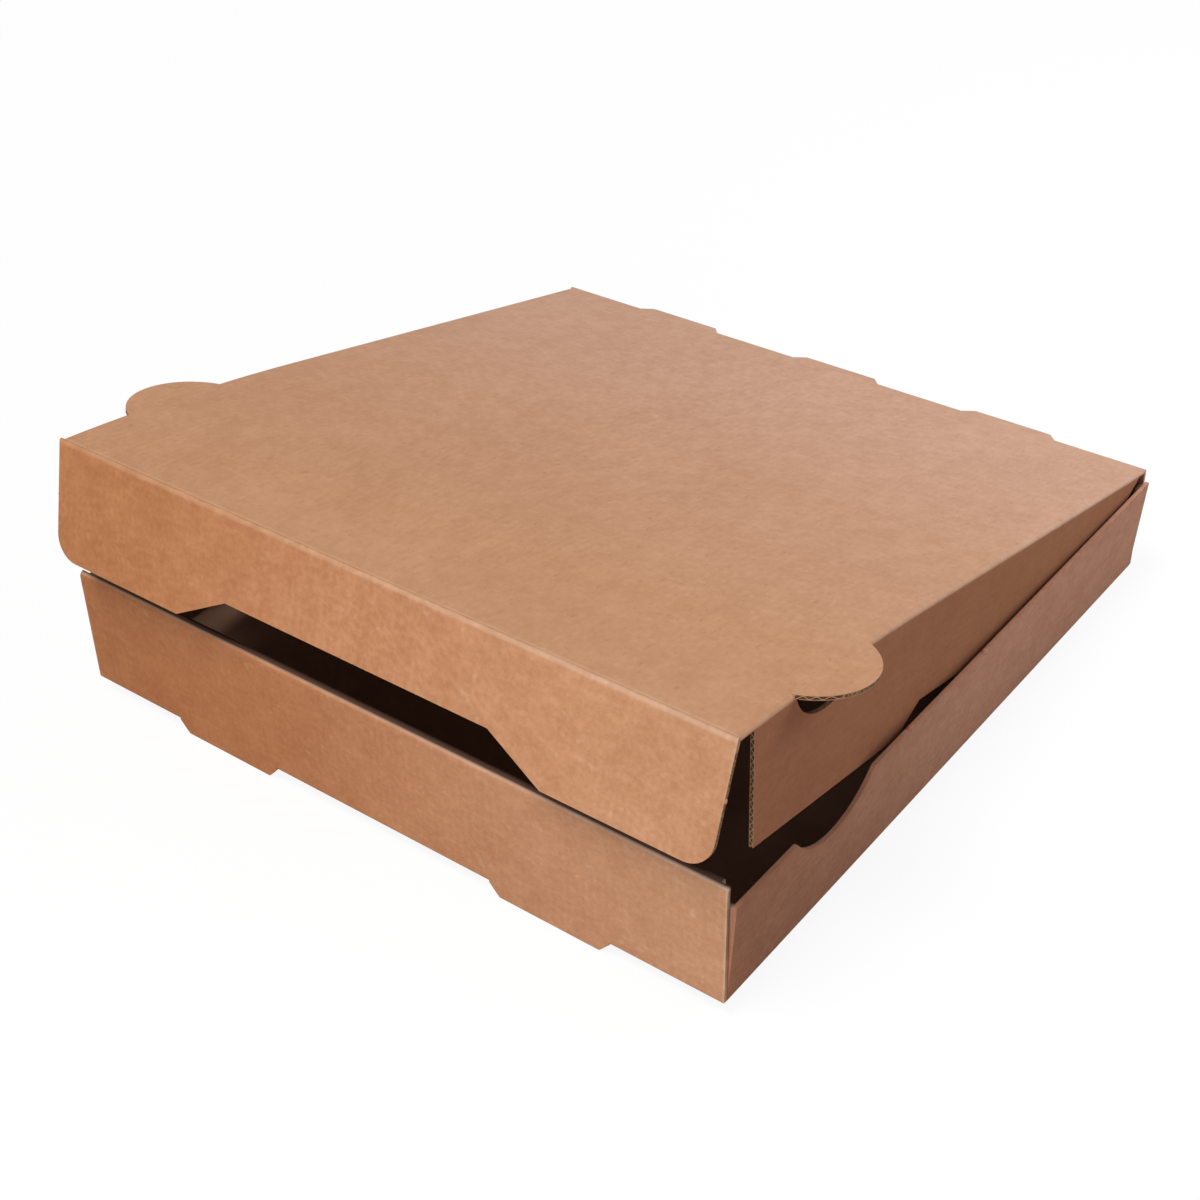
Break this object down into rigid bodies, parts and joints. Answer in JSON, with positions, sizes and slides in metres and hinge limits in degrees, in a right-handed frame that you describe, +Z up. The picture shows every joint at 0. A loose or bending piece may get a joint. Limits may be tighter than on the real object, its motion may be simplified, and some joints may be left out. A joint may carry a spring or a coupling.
{
  "type": "folded carton box",
  "caption": "Low square box folded from plain brown corrugated board, with a hinged lid, a drop-down front flap, ears on the lid, finger notches and short feet.",
  "frame": {"origin": "middle of the bottom of the whole box's outline, at the level of the table it stands on", "axes": "+X to the box's right seen from its front, +Y from the front wall to the back fold, +Z up"},
  "size_m": [0.333, 0.3318, 0.1155],
  "materials": {
    "tray": "matt unbleached brown board with faint flute lines",
    "lid": "matt unbleached brown board with faint flute lines",
    "front_flap": "matt unbleached brown board with faint flute lines"
  },
  "bodies": {
    "tray": {"tray": "tray"},
    "lid": {"lid": "lid"},
    "front_flap": {"front_flap": "front_flap"}
  },
  "joints": [
    {"name": "lid_hinge", "type": "hinge", "parent": "tray", "child": "lid", "pos_m": [0, 0.1601, 0.04823], "axis": [-1, 0, 0], "range_deg": [-10.2, 165]},
    {"name": "front_flap_hinge", "type": "hinge", "parent": "lid", "child": "front_flap", "pos_m": [0, -0.15213, 0.11474], "axis": [-1, 0, 0], "range_deg": [-5, 80]}
  ]
}
